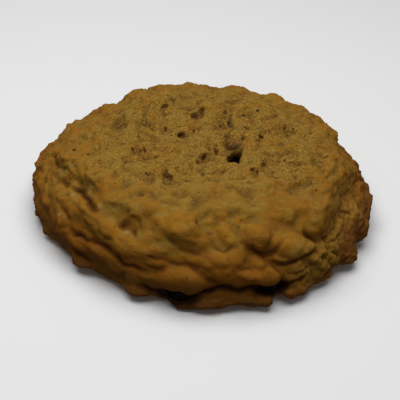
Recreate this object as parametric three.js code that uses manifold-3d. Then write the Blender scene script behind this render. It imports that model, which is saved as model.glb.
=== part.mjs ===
// An oatmeal raisin cookie: one baked piece of craggy oat dough, with raisins sitting in its holes.
// Millimetres, +Z up, the flat underside on z = 0 and the front of the cookie towards -Y.
// Places on the dough are given as [azimuth, along]: degrees round from +X, seen from above, and
// millimetres from the middle of the top, measured along the section over the rim and down the side.
import * as THREE from "three";
import { SimplexNoise } from "three/addons/math/SimplexNoise.js";
import { mergeVertices } from "three/addons/utils/BufferGeometryUtils.js";
import Module from "manifold-3d";

const wasm = await Module();
wasm.setup();

// ---------------------------------------------------------------- driving dimensions
// Half section of the plain round, radius and height: the dished top, the raised rim, the side
// and the foot that the cookie stands on.
const SECTION = [
  [0, 16.6],
  [12, 17.1],
  [20, 17.8],
  [27.8, 16.1],
  [32.9, 12.8],
  [36, 8.6],
  [37, 4.6],
  [36.2, 1.4],
  [34.3, 0],
];
const FOOT_RADIUS = 34.3;
const SKIRT_RADIUS = 37;
// How the plan strays from a circle: waves round the rim, with the height of each in millimetres
// and the place of one crest in degrees. The top of the body and the skirt have their own.
const BODY_WAVES = [
  { count: 3, height: 0.5, crest: 80 },
  { count: 4, height: 0.6, crest: 80 },
  { count: 5, height: 0.6, crest: 42 },
];
const SKIRT_WAVES = [
  { count: 1, height: 0.6, crest: 66 },
  { count: 2, height: 0.5, crest: 160 },
  { count: 3, height: 0.4, crest: 48 },
  { count: 4, height: 0.4, crest: 7 },
];
const SKIRT_TOP = 4; // height where the plan starts to change from the skirt's to the body's
const BODY_PLAN = 12; // height where the plan is all the body's
const SPACING = 1.3; // side of the triangles on the top and the side
const FOOT_SPACING = 4.5; // side of the triangles on the flat underside
const RING_STEP = 0.6; // least share of a ring's points that the next ring inwards on the underside has
const FOOT_BLEND = 2.5; // length of section above the foot over which the relief dies away
const RIM = 26; // distance along the section where the top turns over into the side
const SIDE = 34; // distance where the side has begun

// Lobes of dough that stand out, with the half width round the cookie, the half length down the
// section and the height of each.
const LOBES = [
  // front right: overlapping lobes, two of them drawn out to a point
  { at: [319.5, 32.4], width: 7, length: 4.8, height: 2.2 },
  { at: [313, 28.6], width: 4.5, length: 4, height: 1.1 },
  { at: [305, 29.7], width: 4, length: 3.4, height: 1 },
  { at: [301.5, 35.2], width: 5.4, length: 3.6, height: 2.3 },
  { at: [308.3, 36.4], width: 3, length: 2.2, height: 2.4 },
  { at: [292.8, 32.8], width: 4.6, length: 3.4, height: 2.3 },
  { at: [283.4, 34.3], width: 3.4, length: 3.4, height: 1.8 },
  { at: [289.8, 37.3], width: 1.9, length: 1.9, height: 1.3 },
  { at: [289.5, 39.7], width: 4.8, length: 2.8, height: 2.1 },
  { at: [294.8, 41], width: 2.6, length: 1.9, height: 2.3 },
  { at: [285, 39.3], width: 2.6, length: 2.6, height: 1.5 },
  // right rim
  { at: [333, 28.4], width: 4, length: 3.5, height: 1 },
  { at: [330, 31.6], width: 4, length: 3.5, height: 1.2 },
  { at: [347, 29], width: 5, length: 4, height: 1 },
  // front
  { at: [262.5, 30.5], width: 6.4, length: 5, height: 2.2 },
  { at: [248.5, 27.7], width: 6, length: 5, height: 1.2 },
  { at: [281, 26], width: 7, length: 4.5, height: 1 },
  { at: [297, 26.6], width: 5, length: 4, height: 0.9 },
  { at: [266, 39.6], width: 3.8, length: 2.4, height: 1.5 },
  { at: [278.5, 36.8], width: 4.5, length: 3.4, height: 2 },
  { at: [272.4, 40.2], width: 2.8, length: 2, height: 1.2 },
  // left
  { at: [221.7, 27], width: 2.8, length: 3, height: 1.1 },
  { at: [197.6, 29.4], width: 5, length: 4.4, height: 1.3 },
  { at: [208.5, 34.7], width: 4, length: 3, height: 1.2 },
  { at: [200.4, 37.4], width: 4, length: 3.6, height: 1 },
  { at: [185, 31.3], width: 5, length: 4, height: 0.7 },
  { at: [214, 39.6], width: 5, length: 3, height: 1.1 },
  // back
  { at: [33, 31], width: 5, length: 5, height: 1.2 },
  { at: [24, 32.5], width: 3, length: 3, height: 1.4 },
  { at: [75, 25], width: 4.5, length: 5, height: 1.3 },
  { at: [101, 25], width: 4, length: 4, height: 0.5 },
  { at: [126, 28], width: 4.6, length: 5, height: 1.8 },
  { at: [163, 31.5], width: 4.4, length: 4, height: 1.5 },
  // skirt: the thin spread edge at the bottom
  { at: [352, 40], width: 6, length: 3.8, height: 1 },
  { at: [341, 42.4], width: 5, length: 3.4, height: 1.3 },
  { at: [328.4, 44.3], width: 4.2, length: 2.9, height: 2.6 },
  { at: [314.5, 44.8], width: 4, length: 2.5, height: 1.6 },
  { at: [302.4, 45], width: 4.2, length: 2.6, height: 2.1 },
  { at: [290.5, 45.2], width: 4, length: 2.6, height: 1.3 },
  { at: [276, 45.3], width: 5.4, length: 2.4, height: 1.4 },
  { at: [266, 45.4], width: 5, length: 2.3, height: 2.7 },
  { at: [250, 45], width: 4.6, length: 2.4, height: 2.2 },
  { at: [226, 44.6], width: 4.4, length: 2.6, height: 1.9 },
];
// Rolls of dough: the line of each, its half width and its height.
const ROLLS = [
  // between the crevice under the rim and the long crack, front left
  {
    line: [[204, 36.2], [213, 35.2], [223, 34.3], [233.4, 34.1], [241, 35], [247, 36.4], [262, 35.6]],
    width: 3,
    height: 1.3,
  },
  // below the long crack
  {
    line: [[219, 40.2], [224, 40.2], [231, 39.9], [240, 40.9], [252, 41.9], [262, 41.2]],
    width: 2.4,
    height: 1.2,
  },
];
// Crevices between lobes and layers: the line of each, its half width and its depth.
const CREVICES = [
  // under the rim on the left
  { line: [[179, 35.6], [196, 32.2], [201, 32]], width: 2, depth: 0.9 },
  { line: [[204.9, 31.8], [212.4, 31], [223, 31]], width: 2, depth: 1.2 },
  { line: [[226, 31.2], [235, 31.5], [243.7, 32.6], [249, 33.6]], width: 2, depth: 1 },
  { line: [[211, 36.7], [218.4, 36.4], [221, 37.5]], width: 1.8, depth: 0.9 },
  // long crack above the bottom layer, front left
  {
    line: [[220.6, 38.3], [228, 37.6], [234, 37.1], [240, 37.9], [245.3, 39.3], [252, 39.5], [259, 39]],
    width: 1.7,
    depth: 2,
  },
  // between the bottom layer and the skirt, front left
  { line: [[222, 42.8], [232, 42.4], [246, 41.8], [255, 43.5]], width: 1.8, depth: 1.6 },
  // across the front
  { line: [[259, 38], [264, 37.2], [270, 37.6], [273, 39], [277, 41.2]], width: 1.7, depth: 1.6 },
  { line: [[251, 33.6], [258.7, 34], [264, 34.8], [270.5, 35]], width: 2, depth: 1.6 },
  { line: [[276.7, 32.6], [280, 34.2], [285.6, 37.6], [295.4, 38.3], [303, 38.8]], width: 1.7, depth: 1.5 },
  // under the lobes of the front right
  { line: [[286.6, 32.5], [288.6, 35.2], [292, 36.2], [295.5, 35.2], [301, 32]], width: 1.8, depth: 1.7 },
  {
    line: [[302, 31.8], [307.7, 34.1], [311.2, 35.8], [316, 37.2], [321.5, 36.2], [327.3, 34.8], [337, 34.4]],
    width: 2,
    depth: 1.5,
  },
  // waist between the body and the skirt, front
  { line: [[256, 43.8], [262, 44], [268, 43.5], [290, 42.6], [297, 42.4], [301, 43]], width: 2, depth: 1.8 },
  // between the crumbly side and the skirt, right
  {
    line: [[303.5, 43.8], [312, 43.7], [319, 42.7], [323, 40.2], [328, 38.2], [335, 36.3], [344, 34.7]],
    width: 1.8,
    depth: 1.2,
  },
  // notches in the skirt
  { line: [[296.3, 42], [297, 48]], width: 1.7, depth: 2.2 },
  { line: [[254, 43.6], [253.5, 48]], width: 1.8, depth: 0.6 },
  { line: [[323, 42.6], [323, 47.5]], width: 1.7, depth: 1.4 },
  { line: [[337.5, 41], [337.5, 47.5]], width: 1.8, depth: 1.4 },
  { line: [[347, 36.5], [346, 43]], width: 1.6, depth: 0.8 },
];
// Broad hollows and small steep pits, with the half width, the half length and the depth of each.
const HOLLOWS = [
  { at: [338, 36], width: 15, length: 6.5, depth: 1.7 }, // the body stands back from the skirt
  { at: [68, 14], width: 3.5, length: 7, depth: 0.9 }, // gully at the back of the top
  { at: [98.6, 12.2], width: 2.6, length: 2, depth: 0.8 },
  { at: [164.7, 19.8], width: 2.2, length: 1.8, depth: 1.2 },
  { at: [147.7, 10.3], width: 2.2, length: 1.6, depth: 1 },
  { at: [151.5, 5.6], width: 1.8, length: 1.4, depth: 1 },
  { at: [245.3, 17.3], width: 1.8, length: 1.8, depth: 1.6 },
  { at: [19, 13.1], width: 1.8, length: 1.4, depth: 1 },
  { at: [273, 28.8], width: 2.8, length: 3.6, depth: 1 }, // pocket of bare crumb in the front rim
  { at: [243.7, 32.6], width: 2.6, length: 2.2, depth: 1.5 },
  { at: [318, 7.6], width: 4.2, length: 3.8, depth: 0.8 }, // funnel round the hole over a raisin
  // dips in the rim at the back
  { at: [92, 27], width: 5, length: 6, depth: 0.9 },
  { at: [53, 29], width: 7, length: 6, depth: 0.7 },
  { at: [138, 30], width: 4, length: 5, depth: 0.7 },
];
// Hollows over the raisins in the waist, and the steep round hole over the one in the top.
const RAISIN_HOLLOWS = [
  { at: [265.6, 44.7], width: 3.4, length: 1.3, depth: 2 },
  { at: [294, 43.5], width: 3, length: 1.2, depth: 1.3 },
];
const TOP_HOLE = { middle: [7, -5.2, 17.8], half: [2.2, 2.9, 5], lean: 8 };

// Lumps of dough that the seed places, between two azimuths and two distances along the section.
const SEED = 20;
const LUMPS = [
  { count: 85, round: [0, 360], along: [2, 30], size: [2.6, 5.2], height: [0.7, 1.8] },
  { count: 90, round: [0, 360], along: [27, 45], size: [2.4, 4.6], height: [0.3, 0.8] },
  { count: 34, round: [302, 346], along: [35, 43.5], size: [1.7, 2.4], height: [0.7, 1.2] }, // crumbly side
];
const LUMP_SHAPE = [0.7, 1]; // length down the section as a share of the width
const CRAG_SIZE = 5; // size of the fold noise all over the dough
const CRAG_DEPTH = 0.8;
const CRAG_STEP = 2.1; // how much finer its second layer is
const CRAG_MEAN = 0.6; // what the two layers together come to on average
const SAG = 0.2; // how far a lobe leans down the side, as a share of its height

// Raisins: the middle of each, half sizes and turns in degrees.
const RAISINS = [
  { name: "raisin_top", middle: [7.5, -1.8, 12.3], half: [4.1, 3.1, 2.5], turn: [0, -14, 25] },
  { name: "raisin_front_left", middle: [-2.8, -33.4, 2.7], half: [3.6, 2.4, 1.5], turn: [0, 2, -2] },
  { name: "raisin_front_right", middle: [14.2, -30.4, 4.1], half: [3.6, 2.5, 1.7], turn: [0, -10, 22] },
];
const RAISIN_DETAIL = 5;
const RAISIN_GAP = 0.3; // between a raisin and the dough round it
const FOLD_DEPTH = 0.13; // of the folds in a raisin, as a share of its half size
const FOLDS_ALONG = 0.9; // how close the folds are, along a raisin and across it
const FOLDS_ACROSS = 2.1;

const DOUGH_LOOK = { color: 0xa9793a, roughness: 0.85, metalness: 0 };
const RAISIN_LOOK = { color: 0x1c1210, roughness: 0.45, metalness: 0 };

// ---------------------------------------------------------------- the plain round
const sectionCurve = new THREE.CatmullRomCurve3(
  SECTION.map(([radius, height]) => new THREE.Vector3(radius, 0, height)),
  false,
  "centripetal",
);
sectionCurve.arcLengthDivisions = 800;
const SECTION_LENGTH = sectionCurve.getLength();

function sectionShare(along) {
  return THREE.MathUtils.clamp(along / SECTION_LENGTH, 0, 1);
}

function waveHeight(waves, azimuth) {
  let height = 0;
  for (const wave of waves) {
    height += wave.height * Math.cos(wave.count * (azimuth - THREE.MathUtils.degToRad(wave.crest)));
  }
  return height;
}

function plainPoint(azimuth, along) {
  const { x: radius, z } = sectionCurve.getPointAt(sectionShare(along));
  const body = THREE.MathUtils.smoothstep(z, SKIRT_TOP, BODY_PLAN);
  const wave = THREE.MathUtils.lerp(waveHeight(SKIRT_WAVES, azimuth), waveHeight(BODY_WAVES, azimuth), body);
  const reach = radius * (1 + wave / SKIRT_RADIUS);
  return new THREE.Vector3(reach * Math.cos(azimuth), reach * Math.sin(azimuth), z);
}

// The directions round the cookie, down its section and out of the dough at a place.
function plainFrame(azimuth, along) {
  const tangent = sectionCurve.getTangentAt(sectionShare(along));
  const down = new THREE.Vector3(tangent.x * Math.cos(azimuth), tangent.x * Math.sin(azimuth), tangent.z);
  const round = new THREE.Vector3(-Math.sin(azimuth), Math.cos(azimuth), 0);
  const out = new THREE.Vector3().crossVectors(down, round);
  return { round, down, out };
}

// ---------------------------------------------------------------- relief
function mulberry(seed) {
  let state = seed;
  return () => {
    state = (state + 0x6d2b79f5) | 0;
    let t = Math.imul(state ^ (state >>> 15), 1 | state);
    t = (t + Math.imul(t ^ (t >>> 7), 61 | t)) ^ t;
    return ((t ^ (t >>> 14)) >>> 0) / 4294967296;
  };
}

const random = mulberry(SEED);
const noise = new SimplexNoise({ random });

function randomBetween([low, high]) {
  return low + (high - low) * random();
}

// A spot is a place on the dough with its own directions and half sizes.
function makeSpot({ at: [degrees, along], width, length, ...rest }) {
  const azimuth = THREE.MathUtils.degToRad(degrees);
  const middle = plainPoint(azimuth, along);
  return { middle, ...plainFrame(azimuth, along), width, length, reach: Math.max(width, length), ...rest };
}

// Squared distance from a spot's middle as a share of its half sizes: 1 on its edge.
function spotDistance(point, spot) {
  const away = point.clone().sub(spot.middle);
  if (away.lengthSq() > 4 * spot.reach * spot.reach) {
    return Infinity;
  }
  const round = away.dot(spot.round) / spot.width;
  const down = away.dot(spot.down) / spot.length;
  const out = away.dot(spot.out) / spot.reach;
  return round * round + down * down + out * out;
}

function scatterLumps() {
  const lumps = [];
  for (const band of LUMPS) {
    let placed = 0;
    while (placed < band.count) {
      const along = randomBetween(band.along);
      const { x: radius } = sectionCurve.getPointAt(sectionShare(along));
      if (random() * SKIRT_RADIUS < radius) {
        const width = randomBetween(band.size);
        const length = width * randomBetween(LUMP_SHAPE);
        const height = randomBetween(band.height);
        lumps.push({ at: [randomBetween(band.round), along], width, length, height });
        placed += 1;
      }
    }
  }
  return lumps;
}

// Round lobes that meet in creases: the highest of them counts most at each point.
const LOBE_POWER = 3;
const lobeSpots = [...LOBES, ...scatterLumps()].map(makeSpot);
function lobeHeight(point) {
  let sum = 0;
  for (const spot of lobeSpots) {
    const distance = spotDistance(point, spot);
    if (distance < 1) {
      sum += (spot.height * (1 - distance)) ** LOBE_POWER;
    }
  }
  return sum ** (1 / LOBE_POWER);
}

const hollowSpots = [...HOLLOWS, ...RAISIN_HOLLOWS].map(makeSpot);
function hollowDepth(point) {
  let depth = 0;
  for (const spot of hollowSpots) {
    const distance = spotDistance(point, spot);
    if (distance < 1) {
      depth += spot.depth * (1 - distance * distance);
    }
  }
  return depth;
}

function placeLine({ line, width, height, depth }) {
  const points = line.map(([degrees, along]) => plainPoint(THREE.MathUtils.degToRad(degrees), along));
  return { points, width, size: height ?? depth };
}

const rolls = ROLLS.map(placeLine);
const crevices = CREVICES.map(placeLine);
const TAPER = 3; // length over which a roll or a crevice grows from nothing at its ends
const closest = new THREE.Vector3();
const segment = new THREE.Line3();
// The height of the highest roll, or the depth of the deepest crevice, at a point.
function lineRelief(lines, point) {
  let most = 0;
  for (const { points, width, size } of lines) {
    const first = points[0];
    const last = points[points.length - 1];
    for (let i = 1; i < points.length; i += 1) {
      segment.set(points[i - 1], points[i]);
      segment.closestPointToPoint(point, true, closest);
      const side = closest.distanceTo(point) / width;
      if (side < 1) {
        const end = Math.min(closest.distanceTo(first), closest.distanceTo(last));
        const taper = THREE.MathUtils.smoothstep(end, -TAPER, TAPER);
        most = Math.max(most, size * taper * (1 - side) * (1 + side));
      }
    }
  }
  return most;
}

// Lumpy noise that folds at zero, so that it has round bodies with sharp valleys between them.
function cragHeight(point) {
  const scaled = point.clone().divideScalar(CRAG_SIZE);
  const coarse = Math.abs(noise.noise3d(scaled.x, scaled.y, scaled.z));
  scaled.multiplyScalar(CRAG_STEP);
  const fine = Math.abs(noise.noise3d(scaled.x, scaled.y, scaled.z));
  return CRAG_DEPTH * (coarse + fine / 2 - CRAG_MEAN);
}

function doughPoint(azimuth, along) {
  const point = plainPoint(azimuth, along);
  const { down, out } = plainFrame(azimuth, along);
  const strength = THREE.MathUtils.smoothstep(SECTION_LENGTH - along, 0, FOOT_BLEND);
  const lobes = Math.max(lobeHeight(point), lineRelief(rolls, point));
  const height = lobes + cragHeight(point) - hollowDepth(point) - lineRelief(crevices, point);
  const side = THREE.MathUtils.smoothstep(along, RIM, SIDE);
  point.addScaledVector(out, height * strength);
  point.addScaledVector(down, SAG * lobes * side * strength);
  point.z = Math.max(point.z, 0);
  return point;
}

// ---------------------------------------------------------------- dough
// Rings of evenly spaced points, from the middle of the top to the middle of the underside.
function makeRings() {
  const rings = [];
  const steps = Math.round(SECTION_LENGTH / SPACING);
  for (let i = 0; i <= steps; i += 1) {
    const along = (i * SECTION_LENGTH) / steps;
    const { x: radius } = sectionCurve.getPointAt(sectionShare(along));
    const size = Math.max(1, Math.round((2 * Math.PI * radius) / SPACING));
    rings.push({ along, size, shrink: 1 });
  }
  const footSteps = Math.round(FOOT_RADIUS / FOOT_SPACING);
  for (let i = 1; i <= footSteps; i += 1) {
    const shrink = 1 - i / footSteps;
    const even = Math.round((2 * Math.PI * FOOT_RADIUS * shrink) / FOOT_SPACING);
    const most = Math.round(rings[rings.length - 1].size * RING_STEP);
    rings.push({ along: SECTION_LENGTH, size: Math.max(1, Math.min(even, most)), shrink });
  }
  return rings;
}

// Triangles between two neighbouring rings: the ring that is behind moves on first.
function zipRings(upper, lower, index) {
  const upperSteps = upper.size === 1 ? 0 : upper.size;
  const lowerSteps = lower.size === 1 ? 0 : lower.size;
  let u = 0;
  let l = 0;
  while (u < upperSteps || l < lowerSteps) {
    const upperPoint = upper.start + (u % upper.size);
    const lowerPoint = lower.start + (l % lower.size);
    if (u >= upperSteps || (l < lowerSteps && (l + 1) * upperSteps <= (u + 1) * lowerSteps)) {
      l += 1;
      index.push(upperPoint, lowerPoint, lower.start + (l % lower.size));
    } else {
      u += 1;
      index.push(upperPoint, lowerPoint, upper.start + (u % upper.size));
    }
  }
}

function doughGeometry() {
  const positions = [];
  const index = [];
  let previous = null;
  for (const { along, size, shrink } of makeRings()) {
    const ring = { start: positions.length / 3, size };
    for (let k = 0; k < size; k += 1) {
      const point = doughPoint((2 * Math.PI * k) / size, along);
      positions.push(point.x * shrink, point.y * shrink, point.z);
    }
    if (previous) {
      zipRings(previous, ring, index);
    }
    previous = ring;
  }
  const geometry = new THREE.BufferGeometry();
  geometry.setAttribute("position", new THREE.Float32BufferAttribute(positions, 3));
  geometry.setIndex(index);
  return geometry;
}

// The same shape with one vertex where several faces meet, and positions only.
function weld(geometry) {
  geometry.deleteAttribute("normal");
  geometry.deleteAttribute("uv");
  return mergeVertices(geometry);
}

// ---------------------------------------------------------------- raisins
// A squashed ball with folds that run lengthwise, as dried skin has.
function raisinGeometry({ middle, half, turn }, grow) {
  const geometry = weld(new THREE.IcosahedronGeometry(1, RAISIN_DETAIL));
  const position = geometry.getAttribute("position");
  const point = new THREE.Vector3();
  for (let i = 0; i < position.count; i += 1) {
    point.fromBufferAttribute(position, i);
    const lengthwise = FOLDS_ALONG * point.x + middle[0];
    const fold = Math.abs(noise.noise3d(lengthwise, FOLDS_ACROSS * point.y, FOLDS_ACROSS * point.z));
    point.multiplyScalar(1 - FOLD_DEPTH + 2 * FOLD_DEPTH * fold);
    point.set(point.x * (half[0] + grow), point.y * (half[1] + grow), point.z * (half[2] + grow));
    position.setXYZ(i, point.x, point.y, point.z);
  }
  const radians = turn.map(THREE.MathUtils.degToRad);
  geometry.applyMatrix4(new THREE.Matrix4().makeRotationFromEuler(new THREE.Euler(...radians)));
  geometry.translate(...middle);
  return geometry;
}

// ---------------------------------------------------------------- solids
function toSolid(geometry) {
  const merged = weld(geometry);
  return new wasm.Manifold(
    new wasm.Mesh({
      numProp: 3,
      vertProperties: merged.getAttribute("position").array,
      triVerts: new Uint32Array(merged.getIndex().array),
    }),
  );
}

function fromSolid(solid) {
  const { vertProperties, triVerts } = solid.getMesh();
  const geometry = new THREE.BufferGeometry();
  geometry.setAttribute("position", new THREE.BufferAttribute(vertProperties, 3));
  geometry.setIndex(new THREE.BufferAttribute(triVerts, 1));
  geometry.computeVertexNormals();
  return geometry;
}

function topHoleGeometry() {
  const geometry = new THREE.SphereGeometry(1, 20, 12);
  geometry.scale(...TOP_HOLE.half);
  geometry.rotateX(THREE.MathUtils.degToRad(TOP_HOLE.lean));
  return geometry.translate(...TOP_HOLE.middle);
}

function makeCookie() {
  let dough = toSolid(doughGeometry()).subtract(toSolid(topHoleGeometry()));
  for (const raisin of RAISINS) {
    dough = dough.subtract(toSolid(raisinGeometry(raisin, RAISIN_GAP)));
  }
  const cookie = new THREE.Mesh(fromSolid(dough), new THREE.MeshStandardMaterial(DOUGH_LOOK));
  cookie.name = "cookie";
  return cookie;
}

function makeRaisins() {
  const material = new THREE.MeshStandardMaterial(RAISIN_LOOK);
  return RAISINS.map((raisin) => {
    const mesh = new THREE.Mesh(raisinGeometry(raisin, 0), material);
    mesh.name = raisin.name;
    return mesh;
  });
}

const part = new THREE.Group();
part.add(makeCookie(), ...makeRaisins());
const box = new THREE.Box3().setFromObject(part);
const middle = box.getCenter(new THREE.Vector3());
part.position.set(-middle.x, -middle.y, -box.min.z);

export default part;
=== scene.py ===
"""An oatmeal raisin cookie: the baked dough with its small relief, loose crumbs of the crust, three raisins.

Objects are in metres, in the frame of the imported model. The relief code works in millimetres. What is
placed after the photo is given by points of the photo, in pixels, and carried onto the dough along the
camera's rays.
"""

import itertools
import math
import bmesh
import bpy
import numpy as np
from mathutils import Matrix, Vector
from mathutils.bvhtree import BVHTree


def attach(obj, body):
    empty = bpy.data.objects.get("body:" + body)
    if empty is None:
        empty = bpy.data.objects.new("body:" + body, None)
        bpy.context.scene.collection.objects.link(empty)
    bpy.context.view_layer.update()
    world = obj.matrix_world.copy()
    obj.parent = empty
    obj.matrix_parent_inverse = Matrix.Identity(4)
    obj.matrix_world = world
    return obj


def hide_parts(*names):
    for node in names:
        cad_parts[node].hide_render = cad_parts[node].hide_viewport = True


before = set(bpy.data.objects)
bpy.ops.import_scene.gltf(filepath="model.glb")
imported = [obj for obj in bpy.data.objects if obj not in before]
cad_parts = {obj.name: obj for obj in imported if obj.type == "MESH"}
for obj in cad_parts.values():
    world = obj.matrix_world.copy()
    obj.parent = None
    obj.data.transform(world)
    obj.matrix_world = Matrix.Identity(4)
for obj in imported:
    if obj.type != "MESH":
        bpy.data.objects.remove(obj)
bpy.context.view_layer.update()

MM = 0.001

# ---------------------------------------- camera, metres, and the photo, pixels
TARGET = Vector((0, 0, 0.008))
ELEVATION = math.radians(33)
DISTANCE = 0.26
ROLL = math.radians(2.9)
SENSOR = 36  # millimetres
PHOTO_SIZE = 400
PHOTO_FOCAL = 1168
PHOTO_TARGET = (202, 179.5)  # where TARGET is in the photo

# ---------------------------------------- dough, millimetres and degrees
VOXEL = 0.36
FOOT_FLAT = 32.5  # radius of the underside that stays one flat face
FACET_ROUNDS = 6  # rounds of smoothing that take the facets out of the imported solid
HOLE_ROUNDS = 30  # more rounds for the edge of the hole in the top
FRONT_ROUNDS = 150  # more rounds for the front and the left, where LOBES take over
FRONT_SHARE = 0.9  # how far those go
SHARPEN = 0.4  # how far lobes and crevices are pushed back out afterwards
SHARPEN_LIMIT = 0.6
SHARPEN_ROUNDS = 10
FOOT_HEIGHT = 1.2  # where all the relief has its full height

# The hole in the top: places seen from above, and where each part of it begins or ends.
HOLE = (6.5, -4.5)
HOLE_EDGE = (3, 6)
HOLE_FLOOR = (13, 15)
HOLE_WALL = (9.2, -5.2)  # the middle of its right wall, which leans over the raisin
HOLE_WALL_REACH = (1.4, 2.8)
HOLE_WALL_FOOT = (12, 14)

# Areas. A sector, seen from above, begins, is whole, is last whole, and ends. A foot, rim or radius begins
# and is whole, a top is last whole and ends.
FRONT_SECTOR = (160, 190, 330, 350)
FRONT_FOOT = (2, 4)
FRONT_TOP = (13, 17)
LOBE_SECTOR = (195, 225, 360, 361)  # here the front's random bumps give way to LOBES
LEFT_SECTOR = (160, 180, 215, 238)
LEFT_TOP = (14, 17)
CALM_SECTOR = (215, 235, 310, 330)
CALM_RADIUS = (18, 24)
CALM_FOOT = (9, 13)
CRUMBLY_SECTOR = (296, 306, 342, 352)
CRUMBLY_TOP = (10, 13)
CRUMBLY_RIM = (28, 31)
UNDER_SECTOR = (200, 220, 285, 310)
HIGHER_SKIRT = (-5, 26, 36)  # the middle of a sector, and its half widths where it is whole and where it ends
SOFT_FRONT = (-2, 14)  # how near the viewer the photo gets out of focus, on the front
SOFT_TOP = (10, 22)  # the same on the top

LOBE_HEIGHT = 0.75
LOBE_REACH = 4.0  # how far over and under the dough's face a lobe counts
LOBE_SPREAD = 1.15
LOBE_SKEW = 0.8  # how far the highest part of a lobe lies towards its lower edge
CREASE_SHARE = 0.3  # of a crease's depth that is relief here; the imported solid and painted shade in the colour do the rest
HOLLOW_SHARE = 0.5  # the same for a hollow
SOFTENING = 0.8  # how far the soft front loses its fine relief
RAISIN_SHADE = {"raisin_top": 3.4, "raisin_front_left": 2.2, "raisin_front_right": 2.2}

FLAKE_COUNT = 210
FLAKE_LENGTH = (1.7, 2.7)
FLAKE_HEIGHT = (0.16, 0.42)
PORE_COUNT = 30
PORE_RADIUS = (0.35, 0.7)
PORE_DEPTH = (0.15, 0.45)
CRUMB_COUNT = 700
CRUMB_SIZE = (0.12, 0.28)

FINE_ROUNDS = 4  # rounds of smoothing that take away small bumps and pits
WIDE_ROUNDS = 42  # the same for lobes and hollows
SKY_RAYS = 14
SKY_REACH = 5.0
GOLDEN_ANGLE = 2.399963

# ---------------------------------------- places in the photo, pixels
FARTHEST_STEP = 12  # millimetres; a longer step has jumped over an edge of the dough

# Small ragged pits of the top: middle, half length, half width, degrees it is turned by, depth in mm.
PITS = [
    (118, 124, 5, 2, 10, 0.7),
    (131, 111, 1.6, 1, 0, 0.4),
    (95, 133, 2, 2.2, 0, 0.5),
    (118, 139, 3.5, 0.9, -30, 0.4),
    (166, 128, 2.6, 1.8, 0, 0.9),
    (162, 130, 1.2, 1, 0, 0.4),
    (171, 134, 2.6, 1.4, 0, 0.8),
    (181, 136, 3.8, 2, 10, 0.9),
    (184, 133, 1.5, 1, 0, 0.5),
    (190, 140, 2.6, 0.9, -25, 0.5),
    (194, 131, 1.2, 2, 0, 0.7),
    (194, 117, 3.4, 1.2, 0, 0.7),
    (201, 113, 2.6, 1.2, 25, 0.6),
    (151, 126, 2, 1, 0, 0.4),
    (153, 130, 1.2, 2.2, 0, 0.6),
    (133, 149, 2.2, 1.5, 0, 0.4),
    (145, 151, 3.2, 0.9, -45, 0.6),
    (155, 157, 4.6, 1.1, 0, 0.7),
    (163, 156, 2, 1.3, 0, 0.3),
    (172, 151, 2, 0.9, -40, 0.4),
    (147, 173, 2, 1.1, 0, 0.5),
    (168, 175, 1.6, 3.6, 10, 1.2),
    (171, 178, 2.4, 1.8, 0, 0.6),
    (199, 162, 2.6, 2, 0, 0.7),
    (205, 160, 3, 1.2, 20, 0.8),
    (216, 151, 2, 3.2, 0, 0.9),
    (203, 174, 2.4, 2, 0, 0.3),
    (186, 182, 2, 1, 0, 0.4),
    (112, 188, 2, 1, 0, 0.3),
    (226, 112, 3, 1.1, 0, 0.5),
    (221, 108, 1.4, 1, 0, 0.4),
    (230, 121, 1.6, 4, 0, 0.9),
    (222, 128, 4, 2, 0, 0.5),
    (243, 115, 3, 1.5, 0, 0.6),
    (249, 118, 3, 1, -30, 0.5),
    (246, 129, 4, 1, -15, 0.5),
    (243, 138, 1.5, 1.6, 0, 0.7),
    (258, 110, 1.8, 1, 0, 0.5),
    (260.5, 136.5, 3.7, 1.2, -35, 1.0),
    (263, 128, 1.4, 1, 0, 0.3),
    (275, 117, 3, 1, 0, 0.3),
    (286, 131, 1.5, 1.5, 0, 0.5),
    (295, 132, 3, 1, 0, 0.4),
    (310, 133, 1.8, 1, 35, 0.5),
    (291, 162, 3, 1.1, 0, 0.5),
    (300, 164, 3.2, 1.2, -30, 0.6),
    (284, 160, 2, 1, 0, 0.4),
    (295, 178, 3, 1.4, -40, 0.6),
    (257, 173, 1.3, 1.6, 0, 0.5),
    (252, 170, 3, 0.9, -10, 0.4),
    (321, 162, 1.5, 1, 30, 0.4),
    (297, 156, 1.1, 0.9, 0, 0.3),
    (304, 157, 1.1, 0.9, 0, 0.3),
    (206, 96, 1.6, 1, 0, 0.4),
    (165, 108, 4, 1.1, 10, 0.6),
    (169, 95, 3, 1.1, -15, 0.4),
    (174, 101, 3, 1.4, 0, 0.4),
    (264, 165, 4, 1.5, 25, 0.4),
    (141, 97, 1.5, 1, 0, 0.3),
    (235, 184, 1.2, 1.6, 0, 0.3),
    (316, 190, 2.4, 1, 10, 0.4),
    (206, 213, 1.8, 1.3, 0, 0.4),
]

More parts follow.
